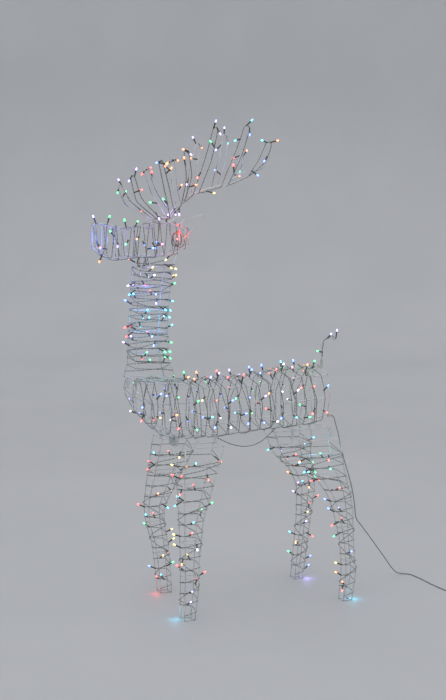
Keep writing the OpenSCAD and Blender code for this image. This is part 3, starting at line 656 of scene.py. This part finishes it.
LEGS = {"front_left": (front_left, 63), "front_right": (front_right, 63), "hind_left": (hind_left, 66), "hind_right": (hind_right, 66)}
for leg, (st, half) in LEGS.items():
    b = Build()
    box_frame(b, st, 2, corner, [520, 462, 404, 322, 232, 128, 1.5])
    sx = 1 if st[0][0] > 0 else -1
    for sy in (-1, 1):
        pin(b, (sx * 76, st[0][1] + sy * half, 521.8), True)
    o = b.make(leg + "_leg_rods", [rod_mat])
    place(o, leg + "_leg", "frame_coating", leg + "_leg_frame")

b = Build()
box_frame(b, neck, 2, corner, [724, 800, 866, 932, 1006, 1066, 1101.5])
for sx in (-1, 1):
    for y in (-292.5, -171.5):
        pin(b, (sx * 38, y, 720), False)
place(b.make("neck_rods", [rod_mat]), "neck", "frame_coating", "neck_frame")
b = Build()
box_frame(b, head, 0, hcorner, [-112.5, -148, -213, -290], axis=(0, 1, 0))
place(b.make("head_rods", [rod_mat]), "neck", "frame_coating", "head_frame")
b = Build()
box_frame(b, muzzle, 0, hcorner, [-332, -373, -407.5], axis=(0, 1, 0))
place(b.make("muzzle_rods", [rod_mat]), "neck", "frame_coating", "muzzle_frame")
for side, m in (("left", 1), ("right", -1)):
    b = Build()
    rail(b, [[m * 52, -172, 1186], [m * 66, -140, 1206], [m * 86, -92, 1226], [m * 88, -84, 1218], [m * 72, -108, 1184], [m * 50, -138, 1150]],
         AR, 8.0)
    place(b.make(side + "_ear_rod", [rod_mat]), "neck", "frame_coating", side + "_ear")

# Antlers
left_beam = vec([24, -230.7, 1213], [26, -205, 1213], [30, -172, 1216], [35, -156, 1244], [40, -132, 1265],
                [46, -110, 1284], [52, -52, 1306], [60, 8, 1317], [66, 52, 1336], [72, 108, 1367], [76, 142, 1384])
right_beam = vec([-24, -230.7, 1213], [-26, -200, 1213], [-30, -160, 1218], [-35, -140, 1246], [-40, -112, 1268],
                 [-46, -84, 1288], [-52, -24, 1308], [-60, 34, 1322], [-66, 76, 1345], [-72, 118, 1366])
left_tines = [
    [[26, -212, 1213], [38, -278, 1268], [50, -302, 1340], 12, 7],
    [[32, -168, 1226], [44, -190, 1300], [55, -214, 1386], 10, 7],
    [[39, -138, 1260], [50, -120, 1340], [60, -134, 1420], 10, 8],
    [[47, -98, 1288], [58, -62, 1390], [68, -40, 1490], 13, 8],
    [[58, -8, 1315], [66, 30, 1400], [76, 62, 1498], 13, 10],
    [[68, 72, 1347], [74, 110, 1390], [80, 134, 1450], 12, 10]]
right_tines = [
    [[-26, -214, 1213], [-38, -288, 1262], [-50, -308, 1314], 12, 7],
    [[-31, -156, 1226], [-42, -204, 1300], [-54, -222, 1368], 10, 7],
    [[-38, -122, 1260], [-48, -132, 1330], [-58, -134, 1400], 10, 7],
    [[-46, -84, 1288], [-56, -66, 1370], [-66, -44, 1452], 12, 8],
    [[-56, 8, 1313], [-64, 36, 1400], [-74, 50, 1482], 13, 9],
    [[-66, 76, 1345], [-72, 96, 1380], [-78, 112, 1418], 11, 9]]


def tine_path(t):
    t0, t1, t2 = (vec(*q) for q in t[:3])
    d, d0 = unit(t2 - t1), unit(t1 - t0)
    e, e0 = unit(vec(0, d[2], -d[1])), unit(vec(0, d0[2], -d0[1]))
    em, wm = unit(e + e0), (t[3] + t[4]) / 2
    return [t0 - e0 * t[3], t1 - em * wm, t2 - e * t[4] - d * t[4], t2 - e * t[4] * 0.7 - d * t[4] * 0.3, t2,
            t2 + e * t[4] * 0.7 - d * t[4] * 0.3, t2 + e * t[4] - d * t[4], t1 + em * wm, t0 + e0 * t[3]]


def nearest(p, beam):
    best = None
    for i in range(len(beam) - 1):
        a, c = beam[i], beam[i + 1]
        t = max(0, min(1, ((p - a) @ (c - a)) / ((c - a) @ (c - a))))
        q = a + (c - a) * t
        d = np.linalg.norm(q - p)
        if best is None or d < best[0] - 1e-9:
            best = (d, q)
    return best[1]


def landed(t, beam):
    q = tine_path(t)
    m = 1 if t[0][0] > 0 else -1
    out = []
    for i in range(9):
        if i in (0, 8):
            f = nearest(q[i], beam)
            d = unit(q[1 if i == 0 else 7] - f)
            g = f - 3 * d
            out.append(vec(g[0] + m * (RR + AR - 0.7) - g[0] + f[0], g[1], g[2]))
        else:
            out.append(q[i])
    return out


for side, beam, tines, m in (("left", left_beam, left_tines, 1), ("right", right_beam, right_tines, -1)):
    b = Build()
    rail(b, beam, RR, 14.0)
    pin(b, (beam[0][0], beam[0][1], 1208), False)
    for t in tines:
        p = landed(t, beam)
        b.tube(fillet(p, 22.0, 4), AR, n=9)
        for q in (p[0], p[8]):
            b.nugget(q - vec(m * 1.1, 0, 0), unit(p[1] - p[0]), 1.9, 4.2)
    place(b.make(side + "_antler_rods", [rod_mat]), side + "_antler", "frame_coating", side + "_antler_frame")

# Tail
b = Build()
rail(b, [[0, 357.6, 760], [0, 358, 775], [0, 360, 820], [0, 392, 832], [0, 404, 822]], AR, 10.0)
pin(b, (0, 357.6, 758), False)
place(b.make("tail_rods", [rod_mat]), "tail", "frame_coating", "tail_frame")

# ------------------------------------------------------------------ light strings
TURNS = {"leg": 14, "neck": 16, "head": 9, "torso": 17}


def leg_wrap(st, n):
    return [corner(station(st, 500 - 484 * i / (4 * n) + 5 * (scat(i, 1) - 0.5), 2), (i + 1) % 4, OFF) for i in range(4 * n + 1)]


def neck_wrap(n):
    return [corner(station(neck, 742 + 342 * i / (4 * n) + 4 * (scat(i, 2) - 0.5), 2), (i + 2) % 4, OFF) for i in range(4 * n + 1)]


def face_at(y):
    return station(head, y, 0) if y > -290 else station(muzzle, y, 0)


def head_wrap(n, loose=0.0):
    return [hcorner(face_at(max(-402, min(-118, -124 - 278 * i / (4 * n) + loose * wave(i, 33)))), i % 4, OFF) for i in range(4 * n + 1)]


def torso_wrap(n):
    return [tcorner(station(torso, -285 + 633 * i / (8 * n) + 9 * (scat(i, 3) - 0.5) - (9 if 20 < i < 27 else 0), 0), i % 8, OFF)
            for i in range(8 * n + 1)]


def antler_path(beam, tines, m):
    return [q + vec(m * (AR + CR + 0.5), 0, 0) for t in tines for q in landed(t, beam)]


def slack(p, k, amount=1.6):
    """Adds a point or two in each long span, a little off its straight line, as a hand-wound cable has."""
    out = [p[0]]
    for i in range(len(p) - 1):
        a, c = p[i], p[i + 1]
        d = np.linalg.norm(c - a)
        if d > 30:
            side = vec(wave(i, k), wave(i, k + 1), wave(i, k + 2) - 0.4) * amount * min(1.6, d / 70)
            out.append(a + (c - a) * (0.42 + 0.16 * scat(i, k + 3)) + side)
        out.append(c)
    return out


def twin(b, path, k, pitch=24.0, step=5.0, r=0.6, off=0.62, n=5, bend=5.0):
    """Two insulated wires, loosely twisted round each other along the path."""
    p = respace(fillet(slack(path, k), bend, 3), step)
    t, u, v = frames(p)
    s = np.arange(len(p)) * step
    for h in (0.0, math.pi):
        a = s / pitch * 2 * math.pi + h + 0.7 * np.sin(s / 61.0 + k)
        q = p + off * (np.cos(a)[:, None] * u + np.sin(a)[:, None] * v)
        b.tube(q, r, n=n, taper_end=False)


def hank(b, centre, ry, rz, rx, turns, k):
    """Spare cable wound into an untidy little hank, its loops standing across the limb."""
    pts = []
    for i in range(turns * 12 + 1):
        j = i // 12
        t = i / 12 * 2 * math.pi + 0.5 * wave(j, k)
        tilt = 0.5 * wave(j, k + 1)
        y, z = ry * (0.8 + 0.3 * scat(j, k + 2)) * math.cos(t), rz * (0.8 + 0.3 * scat(j, k + 3)) * math.sin(t)
        x = rx * (2 * j / turns - 1) + rx * 0.5 * wave(j, k + 4)
        pts.append(vec(*centre) + vec(x, y * math.cos(tilt) - z * math.sin(tilt), y * math.sin(tilt) + z * math.cos(tilt)))
    twin(b, pts, k, bend=2.0, step=4.0)


paths = {
    "torso": torso_wrap(TURNS["torso"]), "neck": neck_wrap(TURNS["neck"]), "head": head_wrap(TURNS["head"]),
    "front_left_leg": leg_wrap(front_left, TURNS["leg"]), "front_right_leg": leg_wrap(front_right, TURNS["leg"]),
    "hind_left_leg": leg_wrap(hind_left, TURNS["leg"]), "hind_right_leg": leg_wrap(hind_right, TURNS["leg"]),
    "left_antler": antler_path(left_beam, left_tines, 1), "right_antler": antler_path(right_beam, right_tines, -1),
}

# Torso: the outward run, and the return run that crosses it
b = Build()
twin(b, paths["torso"], 51)
back_run = []
n = 8
for i in range(8 * n + 1):
    y = 344 - 622 * i / (8 * n) + 10 * wave(i, 71)
    back_run.append(tcorner(station(torso, y, 0), (8 - i) % 8, OFF + 1.4))
twin(b, back_run, 57)
place(b.make("torso_string_wires", [cable_mat]), "torso", "string_cable", "torso_light_string")
# Legs
for leg, (st, half) in LEGS.items():
    b = Build()
    twin(b, paths[leg + "_leg"], 61 + len(leg))
    run = []
    for i in range(4 * 4 + 1):
        z = 22 + 474 * i / 16 + 9 * wave(i, 75)
        run.append(corner(station(st, z, 2), (3 - i) % 4, OFF + 1.2))
    twin(b, run, 65 + len(leg))
    place(b.make(leg + "_leg_string_wires", [cable_mat]), leg + "_leg", "string_cable", leg + "_leg_string")
# Neck and head
b = Build()
twin(b, paths["neck"], 81)
run = []
for i in range(4 * 4 + 1):
    z = 1080 - 334 * i / 16 + 8 * wave(i, 77)
    run.append(corner(station(neck, z, 2), (3 - i) % 4, OFF + 1.2))
twin(b, run, 83)
hank(b, (26, -262, 1082), 15, 20, 12, 4, 85)
place(b.make("neck_string_wires", [cable_mat]), "neck", "string_cable", "neck_light_string")
b = Build()
twin(b, head_wrap(TURNS["head"], 9.0), 87)
run = []
for i in range(4 * 4 + 1):
    y = -398 + 262 * i / 16 + 6 * wave(i, 79)
    run.append(hcorner(face_at(y), (3 - i) % 4, OFF + 1.0))
twin(b, run, 89)
hank(b, (30, -150, 1150), 17, 24, 12, 4, 86)
place(b.make("head_string_wires", [cable_mat]), "neck", "string_cable", "head_light_string")
# Antlers and tail
for side in ("left", "right"):
    b = Build()
    twin(b, paths[side + "_antler"], 91, bend=8.0)
    place(b.make(side + "_antler_string_wires", [cable_mat]), side + "_antler", "string_cable", side + "_antler_string")
b = Build()
tail_path = vec([4.5, 358, 768], [4.5, 359, 795], [4.5, 364, 824], [4.5, 393, 837], [4.5, 408, 824], [2, 409, 832])
twin(b, [q for q in tail_path], 93, step=3.0)
place(b.make("tail_string_wires", [cable_mat]), "tail", "string_cable", "tail_string")
# Cable slung under the belly
b = Build()
link_route = [[44, -50, 545], [48, -20, 528], [44, 20, 509], [30, 70, 496], [0, 120, 494], [-30, 165, 503], [-44, 200, 524], [-46, 226, 545]]
p = smooth_curve(link_route, 4.0)
t, u, v = frames(p)
s = np.arange(len(p)) * 4.0
for h in (0.0, math.pi):
    a = s / 26.0 * 2 * math.pi + h
    b.tube(p + 0.78 * (np.cos(a)[:, None] * u + np.sin(a)[:, None] * v), 0.72, n=6)
place(b.make("belly_link_wires", [cable_mat]), "torso", "string_cable", "belly_link_cable")


# ------------------------------------------------------------------ lamps
def lamp_dir(out, i, k):
    t = unit(vec(-out[1] + 0.01, out[0], 0.02))
    w = unit(np.cross(out, t))
    return unit(out * (0.45 + 0.55 * scat(i, k)) + t * 1.5 * (scat(i, k + 1) - 0.5) + w * 1.5 * (scat(i, k + 2) - 0.5))


def mixp(p, i, k, a=0.25, c=0.5):
    return p[i] + (p[i + 1] - p[i]) * (a + c * scat(i, k + 4))


def round_lamps(p, first, share, k, axis):
    out = []
    for i in range(first, len(p) - 1):
        if scat(i, k + 9) < share:
            q = mixp(p, i, k)
            out.append((q, lamp_dir(unit(vec(q[0], 0, q[2] - axis)), i, k)))
    return out


def leg_lamps(st, p, k):
    out = []
    for i in range(2, len(p) - 2):
        if scat(i, k + 9) < (0.4 if p[i][2] < 330 else 0.8 if st[0][1] > 0 else 0.55):
            q = mixp(p, i, k)
            s = station(st, q[2], 2)
            d = lamp_dir(unit(vec(q[0] - s[0], q[1] - s[1], 0)), i, k)
            if q[2] > 34 or d[2] > -0.1:
                out.append((q, d if q[2] > 34 else unit(vec(d[0], d[1], abs(d[2]) + 0.15))))
    return out


def antler_lamps(p, k, m):
    out = []
    for i in range(1, len(p) - 1, 2):
        q = mixp(p, i, k, 0.3, 0.4)
        a, f = math.radians(360 * scat(i, k)), 0.2 + 0.5 * scat(i, k + 1)
        out.append((q, unit(vec(m * f, math.cos(a), math.sin(a)))))
    return out


torso_lamps = [(q, d) for q, d in round_lamps(paths["torso"], 1, 1, 5, 630)
               if q[2] > 552 and (q[1] > -150 or q[2] < 690) and q[2] + 27 * d[2] > 557 and not (abs(q[0]) < 34 and q[1] > 318)]
neck_lamps = []
for i in range(5, len(paths["neck"]) - 1):
    if scat(i, 20) < 0.75:
        q = mixp(paths["neck"], i, 11)
        neck_lamps.append((q, lamp_dir(unit(vec(q[0], q[1] + 235, 0)), i, 11)))
head_lamps = [(q, d) for q, d in round_lamps(paths["head"], 3, 0.8, 17, 1146)
              if q[2] > 1100 and not (q[2] > 1180 and abs(q[1] + 225) < 30)]
lamps = {
    "torso": torso_lamps, "neck": neck_lamps + head_lamps,
    "front_left_leg": leg_lamps(front_left, paths["front_left_leg"], 23),
    "front_right_leg": leg_lamps(front_right, paths["front_right_leg"], 29),
    "hind_left_leg": [(q, d) for q, d in leg_lamps(hind_left, paths["hind_left_leg"], 31) if d[1] < 0.35],
    "hind_right_leg": leg_lamps(hind_right, paths["hind_right_leg"], 37),
    "left_antler": antler_lamps(paths["left_antler"], 41, 1),
    "right_antler": antler_lamps(paths["right_antler"], 43, -1),
    "tail": [(vec(4.5, 358, 784), unit(vec(0.4, -1, 0.25))), (vec(2, 409, 831), unit(vec(0.1, 0.1, 1))),
             (vec(4.5, 378, 830.5), unit(vec(0.8, 0.1, 0.6)))],
}
mixture = "RGBLRCORYGLCRBWRPGLOCRB"
colours = {
    "torso": "BRWLGBYBBORBGRBBGOGGWGGOYCBLOLRBBBRLBWBGRRGBWBLRBBBRLBLBCYBBOWGGBRWBRGRWWCRRCPRGLWBORRWPOGBRGO",
    "neck": "GGRGGGGLGBLRBRRCRCCCCCCCCBCLCRBCLGWRYWWYYYYORYBLBPBBGOGGGLBGOOL",
    "front_left_leg": "OCYRRRRCCGGCRYWYOYRRRLL",
    "front_right_leg": "YCRRROLRYOCRCRGYYRYGBRC",
    "hind_left_leg": "ROGGCCRRRBBLRRGBYORO",
    "hind_right_leg": "CCLCROGCOGGOROLCLRRYLRCYOGBB",
    "left_antler": "RLLLGOBOLOLOORLLGYCCBRBCOB",
    "right_antler": "GGLOGRRRLOOOOLLOOLLLCBOROG",
    "tail": "GLL",
}

HOLDER = [(1.5, -1.4), (1.95, -0.4), (2.15, 0.8), (2.2, 3.0), (1.9, 3.5), (1.9, 4.1), (2.2, 4.6), (2.2, 6.2), (1.9, 6.7), (1.9, 7.3),
          (2.2, 7.8), (2.2, 9.4), (1.9, 9.9), (1.9, 10.5), (2.2, 11.0), (2.25, 14.6), (2.7, 15.1), (2.7, 17.4), (2.45, 18.0), (2.4, 19.2)]
# HOLDER_K paints a highlight: the rib crowns and the collar get a lighter colour than the grooves between them
HOLDER_K = [0.0, 0.2, 0.3, 0.3, 0.0, 0.0, 0.5, 0.5, 0.0, 0.0, 0.5, 0.5, 0.0, 0.0, 0.3, 0.2, 0.9, 0.9, 0.3, 0.2]
LENS = [(2.35, 18.4), (2.5, 19.4), (2.5, 21.6), (2.42, 23.8), (2.15, 25.6), (1.75, 26.6), (1.3, 26.95), (0.7, 26.3), (0.02, 25.7)]
LENS_K = [0.05, 0.25, 0.45, 0.6, 0.8, 1.0, 1.0, 1.0, 1.0]

for g, ls in lamps.items():
    hb, lb = Build(), Build()
    for i, (q, d) in enumerate(ls):
        c = colours.get(g, mixture)
        key = c[(i * 7 + len(g)) % len(c)] if g not in colours else c[i % len(c)]
        hb.lathe(q, d, HOLDER, n=10, k=HOLDER_K)
        # The two wires enter a flat saddle at the root of the holder
        t = unit(np.cross(d, vec(0.3, 0.5, 0.81)))
        hb.tube([q - t * 3.2 - d * 0.6, q - t * 1.4 - d * 1.0, q + t * 1.4 - d * 1.0, q + t * 3.2 - d * 0.6], 1.15, n=6, k=0.2)
        lb.lathe(q, d, LENS, n=10, k=LENS_K, mat=led_names.index(key))
    holder_obj = hb.make(g + "_holders_ribbed", [holder_mat])
    lens_obj = lb.make(g + "_lenses_lit", lens_mats)
    place(holder_obj, g, "lamp_holder", g + "_lamp_holders")
    place(lens_obj, g, "lamp_lens", g + "_lamp_lenses")
print("LAMPS", {g: len(v) for g, v in lamps.items()})

# ------------------------------------------------------------------ materials of the CAD nodes that stay
stay = {
    "front_leg_seat": rod_mat, "hind_leg_seat": rod_mat, "neck_seat": rod_mat, "tail_socket": rod_mat, "antler_sockets": rod_mat,
    "torso_cable_ties": tie_mat, "string_junction_box": box_mat, "lead_clip": tie_mat,
}
for name, mat in stay.items():
    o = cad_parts[name]
    o.data.materials.clear()
    o.data.materials.append(mat)

# ------------------------------------------------------------------ floor, backdrop and light
prof = [(0.0, 0.0), (2.0, 0.0), (4.5, 0.0), (7.5, 0.0)]
for i in range(1, 13):
    a = math.radians(90 * i / 12)
    prof.append((7.5 + 3.0 * math.sin(a), 3.0 - 3.0 * math.cos(a)))
prof.append((10.5, 5.0))
verts, faces = [], []
n = 96
for r, z in prof[1:]:
    for q in range(n):
        t = q / n * 2 * math.pi
        verts.append((r * math.cos(t), r * math.sin(t), z - 0.0002))
verts.append((0, 0, -0.0002))
for q in range(n):
    faces.append((len(verts) - 1, q, (q + 1) % n))
for i in range(len(prof) - 2):
    for q in range(n):
        q2 = (q + 1) % n
        faces.append((i * n + q, (i + 1) * n + q, (i + 1) * n + q2, i * n + q2))
me = bpy.data.meshes.new("studio")
me.from_pydata(verts, [], faces)
me.polygons.foreach_set("use_smooth", [True] * len(me.polygons))
studio = bpy.data.objects.new("studio", me)
bpy.context.scene.collection.objects.link(studio)
floor_mat = material("studio_floor", srgb(0.735, 0.742, 0.756), srgb(0.752, 0.758, 0.772), scale=1.2, rough=(0.55, 0.62), bump=0.0,
                     bump_scale=50)
me.materials.append(floor_mat)
# Painted shade: the floor colour is a little darker near the figure, and the tone rises smoothly towards the wall
nt = floor_mat.node_tree
bs = next(q for q in nt.nodes if q.type == "BSDF_PRINCIPLED")
src = bs.inputs["Base Color"].links[0].from_socket
geo = node(nt, "ShaderNodeNewGeometry")
flat = node(nt, "ShaderNodeVectorMath", operation="MULTIPLY")
flat.inputs[1].default_value = (1, 1, 0)
nt.links.new(geo.outputs["Position"], flat.inputs[0])
reach = node(nt, "ShaderNodeVectorMath", operation="LENGTH")
nt.links.new(flat.outputs["Vector"], reach.inputs[0])
rise = node(nt, "ShaderNodeMapRange")
rise.interpolation_type = "SMOOTHSTEP"
rise.inputs["From Min"].default_value = 3.0
rise.inputs["From Max"].default_value = 8.2
rise.inputs["To Min"].default_value = 0.85
rise.inputs["To Max"].default_value = 1.0
nt.links.new(reach.outputs["Value"], rise.inputs["Value"])
shade = node(nt, "ShaderNodeVectorMath", operation="SCALE")
nt.links.new(src, shade.inputs["Vector"])
nt.links.new(rise.outputs["Result"], shade.inputs["Scale"])
nt.links.new(shade.outputs["Vector"], bs.inputs["Base Color"])

world = bpy.data.worlds.new("world")
bpy.context.scene.world = world
world.use_nodes = True
bpy.context.scene.view_settings.view_transform = "Standard"
bg = world.node_tree.nodes["Background"]
bg.inputs["Color"].default_value = (0.979, 0.987, 1.0, 1)
bg.inputs["Strength"].default_value = 0.98


def area(name, loc, aim, size, power, color=(1, 1, 1)):
    d = bpy.data.lights.new(name, "AREA")
    d.shape = "RECTANGLE"
    d.size, d.size_y = size
    d.energy = power
    d.color = color
    o = bpy.data.objects.new(name, d)
    bpy.context.scene.collection.objects.link(o)
    o.location = loc
    v = vec(*aim) - vec(*loc)
    yaw = math.atan2(v[1], v[0])
    pitch = math.atan2(-v[2], math.hypot(v[0], v[1]))
    o.rotation_euler = (math.radians(90) - pitch, 0, yaw - math.radians(90))
    o.visible_camera = False
    return o


area("top_light", (1.2, -0.6, 4.2), (0.1, 0.2, 0.5), (4.5, 4.5), 16)
area("key_light", (3.6, -4.2, 3.0), (0, 0, 0.8), (2.6, 2.0), 14, (1.0, 0.98, 0.96))
area("side_light", (1.6, 4.6, 2.6), (0, 0, 0.8), (2.2, 2.0), 10, (0.95, 0.97, 1.0))


def glow(name, at, key, power, size=0.012):
    """A small coloured light where many lamps of one colour stand close together."""
    d = bpy.data.lights.new(name, "POINT")
    d.energy = power
    d.color = LED[key][0]
    d.shadow_soft_size = size
    o = bpy.data.objects.new(name, d)
    bpy.context.scene.collection.objects.link(o)
    o.location = vec(*at) * MM
    o.visible_camera = False


for i, (at, key, power) in enumerate([
        ((0, -392, 1152), "B", 0.5), ((10, -330, 1150), "L", 0.15), ((46, -150, 1168), "R", 0.35), ((0, -170, 1236), "L", 0.2),
        ((0, -232, 1040), "L", 0.35), ((0, -234, 980), "B", 0.4), ((0, -236, 905), "C", 0.35), ((0, -236, 850), "B", 0.2),
        ((30, -176, 768), "G", 0.15), ((0, -200, 650), "B", 0.15), ((20, 250, 690), "G", 0.2), ((60, 330, 640), "R", 0.12),
        ((110, 310, 480), "C", 0.2), ((-30, 40, 660), "L", 0.12), ((0, -60, 1330), "O", 0.12), ((0, 90, 1400), "B", 0.15),
        ((152, 400, 16), "C", 0.03), ((-128, 372, 14), "L", 0.03), ((-140, -168, 15), "R", 0.02), ((150, -205, 16), "C", 0.02)]):
    glow("glow_%02d" % i, at, key, power * (1.0 if at[2] < 100 else 0.4))
